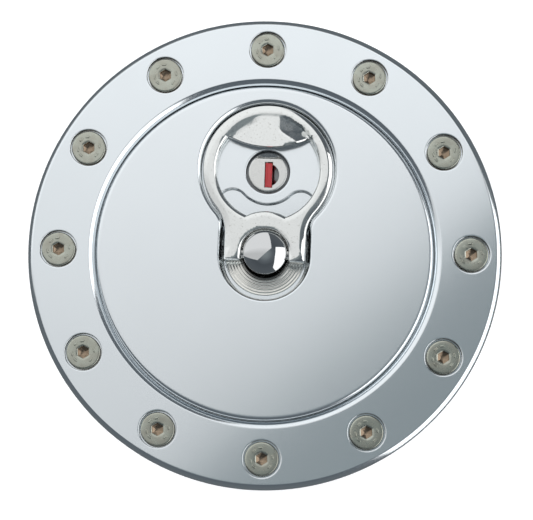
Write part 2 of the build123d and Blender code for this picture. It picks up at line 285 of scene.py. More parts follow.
class Shell:
    """Collects vertices in mm and faces, and becomes one object."""

    def __init__(self):
        self.verts = []
        self.faces = []

    def ring(self, points):
        start = len(self.verts)
        self.verts.extend(points)
        return list(range(start, start + len(points)))

    def bridge(self, low, high):
        count = len(low)
        for i in range(count):
            j = (i + 1) % count
            self.faces.append((low[i], low[j], high[j], high[i]))

    def merge(self, other, move=None):
        start = len(self.verts)
        if move:
            self.verts.extend(move(v) for v in other.verts)
        else:
            self.verts.extend(other.verts)
        self.faces.extend(tuple(i + start for i in face) for face in other.faces)

    def make(self, name, slot, body, replaces=None, sharp=35, weld=1e-6):
        mesh = bpy.data.meshes.new(name)
        mesh.from_pydata([(x * MM, y * MM, z * MM) for x, y, z in self.verts], [], self.faces)
        mesh.validate()
        piece = bpy.data.objects.new(name, mesh)
        bpy.context.scene.collection.objects.link(piece)
        bm = bmesh.new()
        bm.from_mesh(mesh)
        bmesh.ops.remove_doubles(bm, verts=bm.verts, dist=weld)
        bmesh.ops.dissolve_degenerate(bm, edges=bm.edges, dist=1e-7)
        bmesh.ops.recalc_face_normals(bm, faces=bm.faces)
        bm.to_mesh(mesh)
        bm.free()
        mesh.shade_smooth()
        mesh.set_sharp_from_angle(angle=math.radians(sharp))
        mesh.materials.append(MATERIALS[slot])
        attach(piece, body)
        if replaces:
            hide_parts(replaces)
        return piece


def arc(cx, cy, radius, start, end, count):
    """Points on an arc from start to end degrees, both ends included."""
    points = []
    for i in range(count + 1):
        angle = math.radians(start + (end - start) * i / count)
        points.append((cx + radius * math.cos(angle), cy + radius * math.sin(angle)))
    return points


def circle(cx, cy, radius, count):
    return arc(cx, cy, radius, 0, 360, count)[:-1]


def soften(points, radius, steps=5, closed=True):
    """Rounds the corners of a polyline that turn by more than 12 degrees."""
    result = []
    count = len(points)
    for i, point in enumerate(points):
        if not closed and i in (0, count - 1):
            result.append(point)
            continue
        a = Vector(points[i - 1])
        b = Vector(point)
        c = Vector(points[(i + 1) % count])
        before = a - b
        after = c - b
        if before.length < 1e-9 or after.length < 1e-9:
            continue
        opening = before.angle(after)
        if opening > math.radians(168):
            result.append(point)
            continue
        reach = min(radius / math.tan(opening / 2), before.length * 0.48, after.length * 0.48)
        start = b + before.normalized() * reach
        end = b + after.normalized() * reach
        for step in range(steps + 1):
            t = step / steps
            p = start * (1 - t) ** 2 + b * 2 * t * (1 - t) + end * t ** 2
            result.append((p.x, p.y))
    return result


def outward(points):
    """Unit normals of a closed outline, on the side away from the material."""
    normals = []
    count = len(points)
    for i in range(count):
        ax, ay = points[i - 1]
        bx, by = points[(i + 1) % count]
        dx, dy = bx - ax, by - ay
        length = math.hypot(dx, dy)
        normals.append((dy / length, -dx / length))
    return normals


def lathe(profile, count=256, centre=(0, 0), closed=True):
    """Solid of revolution from (radius, z) corners."""
    shell = Shell()
    rings = []
    for radius, z in profile:
        if radius < 1e-6:
            rings.append([shell.ring([(centre[0], centre[1], z)])[0]] * count)
        else:
            rings.append(shell.ring([(x, y, z) for x, y in circle(centre[0], centre[1], radius, count)]))
    pairs = list(zip(rings, rings[1:] + ([rings[0]] if closed else [])))
    for low, high in pairs:
        if closed or high is not rings[0]:
            for i in range(count):
                j = (i + 1) % count
                quad = []
                for index in (low[i], low[j], high[j], high[i]):
                    if index not in quad:
                        quad.append(index)
                if len(quad) > 2:
                    shell.faces.append(tuple(quad))
    return shell


def slab(edges, top=None, under=None, spacing=0, guard=0.3):
    """A plate from closed outlines.

    edges: list of (outline, profile). An outline runs anticlockwise round material and
    clockwise round a hole. A profile lists (inset, z) from the top face to the under face;
    an inset is measured into the material. top gives a height for (x, y, z); under only
    switches on the spacing grid for the under face.
    """
    shell = Shell()
    first = []
    last = []
    for outline, profile in edges:
        normals = outward(outline)
        rings = []
        start, end = profile[0], profile[-1]
        if guard:
            profile = [(start[0] + guard, start[1])] + profile + [(end[0] + guard, end[1])]
        for inset, z in profile:
            points = []
            for (x, y), (nx, ny) in zip(outline, normals):
                px, py = x - nx * inset, y - ny * inset
                points.append((px, py, top(px, py, z) if top else z))
            rings.append(shell.ring(points))
        for low, high in zip(rings[1:], rings):
            shell.bridge(low, high)
        first.append(rings[0])
        last.append(rings[-1])
    cap(shell, first, spacing)
    cap(shell, last, spacing if under else 0)
    return shell


def cap(shell, rings, spacing=0, height=None):
    """Fills the area between closed rings of vertices."""
    flat = []
    loops = []
    owner = []
    for ring in rings:
        start = len(flat)
        for index in ring:
            flat.append(Vector(shell.verts[index][:2]))
            owner.append(index)
        loops.append(list(range(start, len(flat))))
    edges = [(loop[i], loop[(i + 1) % len(loop)]) for loop in loops for i in range(len(loop))]
    if spacing:
        outlines = [[flat[i] for i in loop] for loop in loops]
        for point in grid_inside(outlines, spacing):
            flat.append(point)
            owner.append(None)
    points, _, triangles, origins, _, _ = delaunay_2d_cdt(flat, edges, [], 2, 1e-7)
    keep = {}
    for index, source in enumerate(origins):
        known = [owner[s] for s in source if owner[s] is not None]
        if known:
            keep[index] = known[0]
        else:
            z = height(points[index].x, points[index].y) if height else shell.verts[rings[0][0]][2]
            keep[index] = shell.ring([(points[index].x, points[index].y, z)])[0]
    for triangle in triangles:
        face = tuple(dict.fromkeys(keep[i] for i in triangle))
        if len(face) < 3:
            continue
        centre = sum((points[i] for i in triangle), Vector((0, 0))) / len(triangle)
        if inside(centre, loops, flat):
            shell.faces.append(face)


def inside(point, loops, flat):
    odd = False
    for loop in loops:
        for i in range(len(loop)):
            a = flat[loop[i]]
            b = flat[loop[i - 1]]
            if (a.y > point.y) != (b.y > point.y):
                if point.x < (b.x - a.x) * (point.y - a.y) / (b.y - a.y) + a.x:
                    odd = not odd
    return odd


def grid_inside(outlines, spacing):
    """Staggered grid points that keep clear of the outlines."""
    xs = [p.x for line in outlines for p in line]
    ys = [p.y for line in outlines for p in line]
    flat = [p for line in outlines for p in line]
    loops = []
    start = 0
    for line in outlines:
        loops.append(list(range(start, start + len(line))))
        start += len(line)
    cells = set()
    for p in flat:
        cells.add((round(p.x / (spacing * 0.6)), round(p.y / (spacing * 0.6))))
    points = []
    row = 0
    y = min(ys)
    while y < max(ys):
        x = min(xs) + (spacing / 2 if row % 2 else 0)
        while x < max(xs):
            cell = (round(x / (spacing * 0.6)), round(y / (spacing * 0.6)))
            near = any((cell[0] + i, cell[1] + j) in cells for i in (-1, 0, 1) for j in (-1, 0, 1))
            point = Vector((x, y))
            if not near and inside(point, loops, flat):
                points.append(point)
            x += spacing
        y += spacing * 0.87
        row += 1
    return points


# ---------------------------------------------------------------- profiles

def round_rim(width, drop, face_z, steps=5):
    """Quarter-round from the face (inset width) to the wall (inset 0)."""
    points = []
    for i in range(steps + 1):
        angle = math.pi / 2 * i / steps
        points.append((width * (1 - math.sin(angle)), face_z - drop * (1 - math.cos(angle))))
    return points


def soft_chamfer(width, drop, face_z, ease=0.18):
    """Straight chamfer with two small eased corners."""
    return [
        (width + ease, face_z),
        (width + ease * 0.35, face_z - ease * 0.08),
        (width - ease * 0.5, face_z - ease * 0.5),
        (ease * 0.5, face_z - drop + ease * 0.5),
        (ease * 0.08, face_z - drop - ease * 0.35),
        (0, face_z - drop - ease),
    ]


# ---------------------------------------------------------------- flange

def screw_places():
    for index in range(SCREW_COUNT):
        angle = math.radians(FIRST_SCREW_DEG + 360 / SCREW_COUNT * index)
        yield SCREW_CIRCLE_R * math.cos(angle), SCREW_CIRCLE_R * math.sin(angle)


def flange():
    outer = soft_chamfer(1.3, 1.0, FACE_Z) + [(0, 1.9), (0.12, 1.6), (0.4, 1.5)]
    seam = soft_chamfer(1.6, 1.1, FACE_Z, 0.12) + [(0, 1.5)]
    hole = round_rim(0.22, 0.22, FACE_Z, 4) + [(0, 3.6), (-2.4, 3.6), (-2.4, 1.5)]
    edges = [(circle(0, 0, 66.0, 480), outer), (circle(0, 0, 47.4, 480)[::-1], seam)]
    for x, y in screw_places():
        edges.append((circle(x, y, 5.15, 72)[::-1], hole))
    shell = slab(edges)
    hub = soften([(44.5, -2.5), (44.5, 0.5), (47.6, 0.5), (47.6, 1.6), (50.0, 1.6), (50.0, -6.0),
                  (45.6, -6.0), (45.6, -2.5)], 0.25, 3)
    shell.merge(lathe(hub, 360))
    return shell.make("flange", "flange_alloy", "flange", "flange_ring")


def gasket():
    hole = [(0.1, 1.5), (0, 1.4), (0, 0.1), (0.1, 0)]
    edges = [(circle(0, 0, 65.5, 320), [(0.25, 1.5), (0.05, 1.42), (0, 1.2), (0, 0.3), (0.05, 0.08), (0.25, 0)]),
             (circle(0, 0, 50.3, 320)[::-1], hole)]
    for x, y in screw_places():
        edges.append((circle(x, y, 2.7, 32)[::-1], hole))
    return slab(edges).make("gasket", "gasket_rubber", "flange", "flange_gasket")


def neck():
    profile = soften([(44.5, -40.0), (45.7, -40.0), (46.5, -39.2), (46.5, -6.5), (45.55, -6.5),
                      (45.55, -2.55), (44.5, -2.55)], 0.2, 3)
    return lathe(profile, 360).make("neck", "neck_alloy", "flange", "filler_neck")


# ---------------------------------------------------------------- screws

def hexagon_radius(angle, across):
    step = TAU / 6
    local = (angle + step / 2) % step - step / 2
    return across / 2 / math.cos(local)


def one_screw():
    """Socket screw with six plain dashes on its face instead of lettering."""
    shell = Shell()
    count = 96
    hex_turn = math.radians(94 - 30)
    spec = [(0, 3.6, 0), (4.75, 3.6, 0), (4.75, 5.75, 0), (4.70, 6.0, 0), (4.58, 6.16, 0), (4.42, 6.24, 0),
            (4.15, 6.26, 0), (3.0, 6.25, 0), (2.3, 6.24, 0), (1.68, 6.22, 1), (1.56, 6.12, 1), (1.53, 5.9, 1),
            (1.5, 4.6, 1), (0.9, 4.3, 0.5), (0, 4.0, 0)]
    rings = []
    for radius, z, square in spec:
        if radius == 0:
            rings.append([shell.ring([(0, 0, z)])[0]] * count)
            continue
        points = []
        for i in range(count):
            angle = TAU * i / count
            hexed = hexagon_radius(angle - hex_turn, 2 * radius)
            r = radius * (1 - square) + hexed * square
            points.append((r * math.cos(angle), r * math.sin(angle), z))
        rings.append(shell.ring(points))
    for low, high in zip(rings, rings[1:]):
        for i in range(count):
            j = (i + 1) % count
            quad = tuple(dict.fromkeys((low[i], low[j], high[j], high[i])))
            if len(quad) > 2:
                shell.faces.append(quad)
    for angle in (12, 98, 134, 192, 226, 318):
        shell.merge(dash(3.05, angle, SCREW_TOP - 0.1))
    shell.merge(thread())
    return shell


def dash(radius, angle, base):
    """Short raised bar with rounded ends, set along the circle."""
    turn = math.radians(angle)
    outline = arc(0.38, 0, 0.30, -90, 90, 8) + arc(-0.38, 0, 0.30, 90, 270, 8)
    bar = slab([(outline, [(0.14, base + 0.27), (0.07, base + 0.24), (0.02, base + 0.16), (0.0, base + 0.05),
                           (-0.02, base - 0.1)])], guard=0)
    along = turn + math.pi / 2
    px, py = radius * math.cos(turn), radius * math.sin(turn)
    moved = Shell()
    moved.merge(bar, lambda v: (px + v[0] * math.cos(along) - v[1] * math.sin(along),
                                py + v[0] * math.sin(along) + v[1] * math.cos(along), v[2]))
    return moved


def thread():
    """Shank with a helical M5 thread, 0.8 mm pitch."""
    shell = Shell()
    count = 24
    pitch = 0.8
    per_turn = 4
    rows = int((13.4 - 0.6) / pitch * per_turn)
    rings = []
    for row in range(rows + 1):
        points = []
        for i in range(count):
            angle = TAU * i / count
            z = -0.6 - row * pitch / per_turn
            phase = (z / pitch - i / count) % 1.0
            depth = 0.30 * abs(phase - 0.5) * 2
            fade = min(1.0, row / 3, (rows - row) / 3 + 0.2)
            radius = 2.49 - depth * fade - (0.35 if row == rows else 0)
            points.append((radius * math.cos(angle), radius * math.sin(angle), z))
        rings.append(shell.ring(points))
    rings.append(shell.ring([(x, y, -14.0) for x, y in circle(0, 0, 1.9, count)]))
    shank = shell.ring([(x, y, -0.6) for x, y in circle(0, 0, 2.2, count)])
    neck_top = shell.ring([(x, y, 3.7) for x, y in circle(0, 0, 2.2, count)])
    order = [neck_top, shank] + rings
    for high, low in zip(order, order[1:]):
        shell.bridge(low, high)
    shell.faces.append(tuple(order[-1]))
    return shell


def screws():
    shell = Shell()
    one = one_screw()
    for x, y in screw_places():
        shell.merge(one, lambda v: (v[0] + x, v[1] + y, v[2]))
    return shell.make("screws", "screw_steel", "flange", "mounting_screws", sharp=38)


# ---------------------------------------------------------------- lid

def keyhole(big=18.75, small=11.95, small_y=-1.0, corner=7.0):
    """Recess outline, anticlockwise."""
    side = small
    centre_x = side + corner
    centre_y = RECESS_Y - math.sqrt((big + corner) ** 2 - centre_x ** 2)
    meet = math.degrees(math.atan2(centre_y - RECESS_Y, centre_x))
    right = arc(0, RECESS_Y, big, meet, 180 - meet, 150)
    left_fillet = arc(-centre_x, centre_y, corner, -meet, 0, 24)
    low = arc(0, small_y, small, 180, 360, 90)
    right_fillet = arc(centre_x, centre_y, corner, 180, 180 + meet, 24)
    sides = [(-side, centre_y - (centre_y - small_y) * i / 6) for i in range(1, 6)]
    back = [(side, small_y + (centre_y - small_y) * i / 6) for i in range(1, 6)]
    outline = right[:-1] + left_fillet + sides + low + back + right_fillet[:-1]
    return outline


def meeting(c0, r0, c1, r1, sign):
    """Crossing point of two circles."""
    dx, dy = c1[0] - c0[0], c1[1] - c0[1]
    d = math.hypot(dx, dy)
    a = (d * d + r0 * r0 - r1 * r1) / (2 * d)
    h = math.sqrt(max(r0 * r0 - a * a, 0))
    mx, my = c0[0] + a * dx / d, c0[1] + a * dy / d
    return mx - sign * h * dy / d, my + sign * h * dx / d


def angle_of(centre, point):
    return math.degrees(math.atan2(point[1] - centre[1], point[0] - centre[0]))


def land_outline():
    """Pad round the lock: wave at the front, notch for the striker at the back."""
    lobe_x, lobe_y = 9.6, 14.0
    spacing = math.hypot(lobe_x, LOCK_Y - lobe_y)
    wave_r = 9.2
    lobe_r = spacing - wave_r
    lobe = (lobe_x, lobe_y)
    lock = (0, LOCK_Y)
    joint = (lobe_x * wave_r / spacing, LOCK_Y - (LOCK_Y - lobe_y) * wave_r / spacing)
    edge = max(meeting(lobe, lobe_r, lock, LAND_R, 1), meeting(lobe, lobe_r, lock, LAND_R, -1))
    notch_y = LOCK_Y + math.sqrt(LAND_R ** 2 - 5.4 ** 2)
    half = arc(0, LOCK_Y, wave_r, -90, angle_of(lock, joint), 16)[:-1]
    half += arc(lobe_x, lobe_y, lobe_r, angle_of(lobe, joint), angle_of(lobe, edge), 24)[:-1]
    half += arc(0, LOCK_Y, LAND_R, angle_of(lock, edge), angle_of(lock, (5.4, notch_y)), 50)
    half += [(5.4, 35.0), (5.4, 32.6)]
    mirrored = [(-x, y) for x, y in reversed(half[1:])]
    return half + mirrored


def shelf_outline():
    """Raised floor under the lever's ring, ending in front under the bridge."""
    reach = 19.05
    front = 9.6
    half = math.degrees(math.asin((front - RECESS_Y) / reach))
    return arc(0, RECESS_Y, reach, half, 180 - half, 120)


def box_outline(x0, x1, y0, y1, radius=0.5):
    return soften([(x0, y0), (x1, y0), (x1, y1), (x0, y1)], radius, 4)


def rim_height(x, y, z):
    """Steepens the recess's chamfer at its front; the lid's outer edge is left alone."""
    drop = FACE_Z - z
    if drop > 1.2 or math.hypot(x, y) > 45:
        return z
    steeper = 2.6 * smooth((9.0 - y) / 5.0)
    return FACE_Z - drop * (1 + steeper)


def lid():
    outer = round_rim(1.1, 1.1, FACE_Z, 7) + [(0, 0.95), (0.15, 0.8), (2.9, 0.8), (2.9, -2.05)]
    rim = soft_chamfer(0.85, 0.85, FACE_Z, 0.22) + [(0, -1.3), (-0.12, -1.7), (-0.5, -2.05)]
    shell = slab([(circle(0, 0, 47.0, 480), outer), (keyhole()[::-1], rim)], top=rim_height)
    groove = [(0, -2.0), (0, -2.1), (1.9, -2.1), (1.9, -4.7), (0, -4.7), (0, -5.4), (0.6, -6.0)]
    seat = [(0.1, -2.0), (0, -2.1), (0, -3.0), (-4.3, -3.0), (-4.3, -6.0)]
    lock_hole = [(0, -2.0), (0, -6.0)]
    slot = [(0, -2.0), (0, -6.0)]
    floor = slab([(circle(0, 0, 44.1, 360), groove), (circle(0, 0, 11.3, 180)[::-1], seat),
                  (circle(0, LOCK_Y, 6.2, 120)[::-1], lock_hole),
                  (box_outline(-5.4, 5.4, 32.6, 38.9)[::-1], slot)])
    shell.merge(floor)
    shelf = slab([(shelf_outline(), [(0.5, 0.9), (0.1, 0.88), (0, 0.75), (0, -2.05)]),
                  (circle(0, LOCK_Y, 6.2, 120)[::-1], [(0, 0.9), (0, -2.05)]),
                  (box_outline(-5.4, 5.4, 32.6, 38.9)[::-1], [(0, 0.9), (0, -2.05)])], guard=0)
    shell.merge(shelf)
    pad_rim = soft_chamfer(0.28, 0.3, LAND_Z, 0.12) + [(0, 1.2), (-0.08, 1.0), (-0.3, 0.85)]
    well = round_rim(0.3, 0.3, LAND_Z, 4) + [(0, -2.05)]
    pad = slab([(land_outline(), pad_rim), (circle(0, LOCK_Y, 6.2, 120)[::-1], well)])
    shell.merge(pad)
    boss = soften([(7.0, -5.5), (7.0, -14.0), (10.0, -14.0), (10.0, -5.5)], 0.4, 3)
    shell.merge(lathe(boss, 120))
    return shell.make("lid", "lid_alloy", "lid", "lid_body")


def washer():
    """Turned disc with raised rings round the dome."""
    pitch = 0.8
    wave = 0.03
    profile = [(5.4, -3.0), (5.4, -2.1), (5.5, -2.0)]
    for step in range(1, 56):
        radius = 5.5 + 0.1 * step
        profile.append((radius, -2.0 - wave * (1 - math.cos(TAU * (radius - 5.5) / pitch))))
    profile += [(11.1, -2.0), (11.2, -2.1), (11.2, -3.0)]
    return lathe(profile, 240).make("washer", "washer_steel", "lid", "cam_washer", sharp=60)


def dome():
    """Spindle with its polished head."""
    steep = math.degrees(math.asin(6.04 / 10.0))
    head = arc(0, 7.5 - 10.0, 10.0, 90, 90 - steep, 40)
    profile = [(0.0, 7.5)] + head[1:]
    profile += [(6.08, 5.42), (6.1, 5.34), (6.1, 5.2), (6.1, 0.0), (6.05, -0.12), (5.9, -0.2)]
    profile += [(5.0, -0.2), (5.0, -16.0), (4.0, -16.1), (4.0, -29.3), (3.4, -30.0), (0.0, -30.0)]
    return lathe(profile, 256, closed=False).make("dome", "dome_chrome", "spindle", "spindle", sharp=30)


# ---------------------------------------------------------------- lever

def lever_outline():
    """Outer outline of the lever with its forked foot, anticlockwise."""
    corner = 11.0
    centre_x = ARM_HALF + corner
    centre_y = RECESS_Y - math.sqrt((RING_OUTER_R + corner) ** 2 - centre_x ** 2)
    meet = math.degrees(math.atan2(centre_y - RECESS_Y, centre_x))
    fork = [(-FORK_GAP_R, -0.4), (-FORK_GAP_R, -1.2), (-FORK_GAP_R, TAIL_Y), (-9.0, TAIL_Y),
            (-ARM_HALF, TAIL_Y), (-ARM_HALF, -1.2), (-ARM_HALF, 0.0)]
    left = soften(fork[::-1], 0.7, 5, closed=False)
    right = [(-x, y) for x, y in reversed(left)]
    inner = arc(0, 0, FORK_GAP_R, 180, 0, 72)
    outline = right[:-1]
    outline += [(ARM_HALF, centre_y * i / 8) for i in range(0, 8)]
    outline += arc(centre_x, centre_y, corner, 180, 180 + meet, 28)[:-1]
    outline += arc(0, RECESS_Y, RING_OUTER_R, meet, 180 - meet, 180)[:-1]
    outline += arc(-centre_x, centre_y, corner, -meet, 0, 28)
    outline += [(-ARM_HALF, centre_y * (8 - i) / 8) for i in range(1, 8)]
    outline += left
    outline += inner[1:-1]
    return tidy(outline)


def tidy(points, least=0.03):
    """Drops points that lie closer together than the least spacing."""
    kept = []
    for point in points:
        if not kept or math.dist(point, kept[-1]) > least:
            kept.append(point)
    if math.dist(kept[0], kept[-1]) <= least:
        kept.pop()
    return kept


def opening_outline():
    """Hole of the ring: bridge at the front, thumb lip at the back, clockwise."""
    ring = (0, RECESS_Y)
    low = meeting(ring, RING_OPENING_R, (0, 0), BRIDGE_R, 1)
    low = (abs(low[0]), low[1])
    high = meeting(ring, RING_OPENING_R, (0, LIP_Y), LIP_R, 1)
    high = (abs(high[0]), high[1])
    lip_start = angle_of((0, LIP_Y), high)
    bridge_end = angle_of((0, 0), low)
    side = arc(0, RECESS_Y, RING_OPENING_R, angle_of(ring, low), angle_of(ring, high), 60)
    points = side + arc(0, LIP_Y, LIP_R, lip_start, -180 - lip_start, 60)[1:]
    points += [(-x, y) for x, y in reversed(side)][1:]
    points += arc(0, 0, BRIDGE_R, 180 - bridge_end, bridge_end, 44)[1:-1]
    return tidy(soften(tidy(points), 0.45, 4))[::-1]


def smooth(t):
    t = min(max(t, 0.0), 1.0)
    return t * t * (3 - 2 * t)


def tab_depth(x, y):
    """How far the thumb tab lies below the lever's top.

    A shallow dish with a rough cast band at its back left and a facet falling away to the right.
    """
    rear = 14.75 - math.hypot(x, y - 24.45)
    if rear <= 0 or y < 28:
        return 0.0
    left = smooth((-2.5 - x) / 2.5)
    step = 0.12 * smooth(rear / 0.35) + 0.30 * left * smooth(rear / 2.2)
    crease = 2.7 + 1.35 * max(0.0, 34.6 - y) ** 1.15
    run = max(0.0, x - crease)
    facet = 0.235 * run * min(1.0, run + 0.5)
    ripple = 0.055 * left * math.sin(6.3 * x + 2.1 * y) * math.sin(4.7 * y - 2.9 * x) * smooth(rear / 0.6)
    facet *= smooth(rear / 0.5)
    return step + facet + ripple * smooth((3.2 - rear) / 1.2)


def tail_depth(x, y):
    """Fall of the right-hand shoulder of each fork tail, which leaves a tongue-shaped flat."""
    if x > 0:
        shoulder = 10.2 - 0.051 * max(0.0, 1.5 - y) ** 2.67
    else:
        shoulder = -6.9 - 0.153 * max(0.0, 2.5 - y) ** 1.64
    run = x - shoulder
    if y > 4.0 or run <= 0:
        return 0.0
    return 0.23 * run * min(1.0, 0.4 + run) * smooth((4.0 - y) / 1.5)


def lever_top(x, y, z):
    """Top of the lever: flat, dished at the tab, rounded at the tails."""
    return z - tab_depth(x, y) - tail_depth(x, y)


def lever_under(x, y):
    """Underside: flat ring, thicker arms, cam foot round the pivot."""
    flat = LEVER_UNDER
    ramp = smooth((9.0 - y) / 3.0)
    arm = flat - (flat - 1.0) * ramp
    gap = 3.3 ** 2 - (y - 0.75) ** 2
    if gap > 0:
        arm = min(arm, PIVOT_Z - 0.75 - math.sqrt(gap))
    return arm


def on_lip(x, y):
    return abs(math.hypot(x, y - LIP_Y) - LIP_R) < 0.2 and abs(x) < 11.6


def on_bridge(x, y):
    return y > 0.8 and abs(math.hypot(x, y) - FORK_GAP_R) < 0.1


def rim_width(x, y):
    """Edge rounding: tight inside the bridge and at the lip, wide along the arms."""
    if abs(x) < 6.7 and y > 0 and math.hypot(x, y) < 6.8:
        return 0.16 + 0.30 * smooth((5.0 - y) / 5.0)
    if on_lip(x, y):
        return 0.16 + 0.42 * smooth((x - 3.0) / 6.0)
    if abs(x) < 7.6 and y < 0.2:
        return 0.20 + 0.26 * smooth((y + 2.3) / 1.2)
    if y < 1.5:
        return 0.20 + 0.75 * smooth((y + 2.2) / 3.7)
    return 0.70 + 0.25 * smooth((21.0 - y) / 6.0)


def lever():
    shell = Shell()
    outer_rim = [(2.0, 0.0), (1.85, 0.015), (1.7, 0.04), (1.4, 0.10), (1.0, 0.195), (0.6, 0.305), (0.4, 0.37),
                 (0.25, 0.45), (0.13, 0.56), (0.04, 0.75), (0.0, 1.2)]
    inner_rim = [(1.15, 0.0), (1.0, 0.03), (0.85, 0.09), (0.5, 0.28), (0.25, 0.45), (0.08, 0.68), (0.0, 1.0)]
    top_rings = []
    low_rings = []
    for outline, rim in ((lever_outline(), outer_rim), (opening_outline(), inner_rim)):
        normals = outward(outline)
        rings = []
        for inset, drop in rim:
            points = []
            for (x, y), (nx, ny) in zip(outline, normals):
                width = rim_width(x, y)
                px, py = x - nx * inset * width, y - ny * inset * width
                top = lever_top(px, py, LEVER_TOP)
                low = lever_under(px, py)
                room = (top - low) * 0.72
                points.append((px, py, top - min(drop, room)))
            rings.append(shell.ring(points))
        for inset, rise in ((0.0, 0.45), (0.10, 0.18), (0.30, 0.03), (0.44, 0.0)):
            points = []
            for (x, y), (nx, ny) in zip(outline, normals):
                undercut = 1.5 * smooth((11.0 - abs(x)) / 2.5) if on_lip(x, y) else 0.0
                if on_bridge(x, y):
                    undercut = 2.4 * smooth((y - 0.8) / 1.2)
                px, py = x - nx * (inset + undercut), y - ny * (inset + undercut)
                points.append((px, py, lever_under(px, py) + rise))
            rings.append(shell.ring(points))
        for high, low in zip(rings, rings[1:]):
            shell.bridge(low, high)
        top_rings.append(rings[0])
        low_rings.append(rings[-1])
    cap(shell, top_rings, 0.5, lambda x, y: lever_top(x, y, LEVER_TOP))
    cap(shell, low_rings, 0.8, lever_under)
    return shell.make("lever_body", "lever_steel", "lever", "lever", sharp=42)


# ---------------------------------------------------------------- lock

def barrel():
    # The barrel gets the near-black lock material: painted shade in the gap round the plug.
    profile = soften([(4.65, -9.5), (5.7, -9.5), (5.7, -0.5), (6.15, -0.5), (6.15, 0.2), (4.65, 0.2)],
                     0.12, 3)
    return lathe(profile, 160, (0, LOCK_Y)).make("barrel", "lock_chrome", "lid", "lock_barrel")


def plug_face_outline():
    """Round face with a flat along its back edge."""
    half = math.degrees(math.acos(PLUG_FLAT / PLUG_R))
    return arc(0, LOCK_Y, PLUG_R, 90 + half, 450 - half, 140)


def key_plug():
    shell = Shell()
    slot = box_outline(*KEY_SLOT, 0.12)
    face = slab([(tidy(plug_face_outline()), round_rim(0.3, 0.3, 1.6, 4) + [(0, 0.9)]),
                 (union_slot(), [(0.08, 1.6), (0, 1.52), (0, 0.9)])])
    shell.merge(face)
    step = slab([(circle(0, LOCK_Y, PLUG_R, 140), [(0.2, 0.92), (0.05, 0.86), (0, 0.7), (0, 0.25)]),
                 (union_slot(), [(0, 0.92), (0, 0.65), (0, 0.25)])])
    shell.merge(step)
    core = slab([(circle(0, LOCK_Y, 4.6, 120), [(0, 0.3), (0, -9.7)]),
                 (slot[::-1], [(0, 0.3), (0, -7.8)])], guard=0)
    shell.merge(core)
    shell.merge(back_ledge())
    shell.merge(slab([(circle(0, LOCK_Y, 4.5, 90), [(0, -7.8), (0, -9.6)])]))
    tang = box_outline(-2.5, 2.5, LOCK_Y - 2.5, LOCK_Y + 2.5, 0.2)
    shell.merge(slab([(tang, [(0, -9.0), (0, -11.6)])]))
    # The hollow beside the slot gets the near-black lock material too: painted shade.
    notch_dish().make("key_notch", "lock_chrome", "lock_plug")
    return shell.make("key_plug", "plug_chrome", "lock_plug", "lock_plug", sharp=30)


def back_ledge():
    """Sloping ledge behind the flat of the plug's face."""
    shell = Shell()
    half = math.degrees(math.acos(PLUG_FLAT / PLUG_R))
    rim = arc(0, LOCK_Y, 5.45, 90 - half, 90 + half, 30)
    high = shell.ring([(x, y, 1.52) for x, y in rim])
    low = shell.ring([(x, LOCK_Y + PLUG_FLAT, 0.94) for x, y in rim])
    for i in range(len(rim) - 1):
        shell.faces.append((low[i], low[i + 1], high[i + 1], high[i]))
    return shell


def notch_arc():
    """Round side of the hollow beside the key slot."""
    half_width = KEY_SLOT[1] - NOTCH_CENTRE[0]
    swing = math.degrees(math.asin(math.sqrt(NOTCH_R ** 2 - half_width ** 2) / NOTCH_R))
    return arc(*NOTCH_CENTRE, NOTCH_R, -swing, swing, 26)


def notch_dish():
    """Hollow beside the key slot, sloping down towards it."""
    shell = Shell()
    bulge = notch_arc()
    wall_x = KEY_SLOT[1]
    rings = []
    for step in range(9):
        t = step / 8
        points = []
        for x, y in bulge:
            points.append((x + (wall_x - x) * t, y, 1.58 - 1.2 * t ** 1.2 * min(1, (x - wall_x) / 0.8)))
        rings.append(shell.ring(points))
    for low, high in zip(rings, rings[1:]):
        for i in range(len(low) - 1):
            shell.faces.append((low[i], low[i + 1], high[i + 1], high[i]))
    return shell


def union_slot():
    """Key slot joined to the round notch at its right, clockwise."""
    x0, x1, y0, y1 = KEY_SLOT
    points = [(x0, y0), (x1, y0)] + notch_arc() + [(x1, y1), (x0, y1)]
    return tidy(points)[::-1]


def shutter():
    """Dust flap hinged at the slot's left edge."""
    shell = Shell()
    outline = box_outline(-0.42, 1.18, LOCK_Y - 4.2, LOCK_Y + 2.8, 0.15)
    shell.merge(slab([(outline, [(0.12, 0.98), (0.03, 0.95), (0, 0.86), (0, 0.66), (0.1, 0.6)])], guard=0))
    rod = Shell()
    count = 20
    rings = []
    for y, radius in ((-4.2, 0.22), (-4.2, 0.34), (-4.14, 0.4), (2.74, 0.4), (2.8, 0.34), (2.8, 0.22)):
        rings.append(rod.ring([(-0.45 + radius * math.cos(TAU * i / count), LOCK_Y + y,
                                0.75 + radius * math.sin(TAU * i / count)) for i in range(count)]))
    for a, b in zip(rings, rings[1:] + [rings[0]]):
        rod.bridge(a, b)
    shell.merge(rod)
    return shell.make("shutter", "red_plastic", "dust_shutter", "dust_shutter")


flange()
gasket()
neck()
screws()
lid()
washer()
dome()
lever()
barrel()
key_plug()
shutter()

NODE_SLOTS = {part["node"]: part["material_slot"] for part in frame["record"]["subparts"]}
for node, piece in frame["nodes"].items():
    for index in range(len(piece.material_slots)):
        piece.material_slots[index].material = MATERIALS[NODE_SLOTS[node]]


# ---------------------------------------------------------------- stage

def plane(name, corners, material):
    mesh = bpy.data.meshes.new(name)
    mesh.from_pydata(corners, [], [(0, 1, 2, 3)])
    piece = bpy.data.objects.new(name, mesh)
    bpy.context.scene.collection.objects.link(piece)
    mesh.materials.append(material)
    return piece


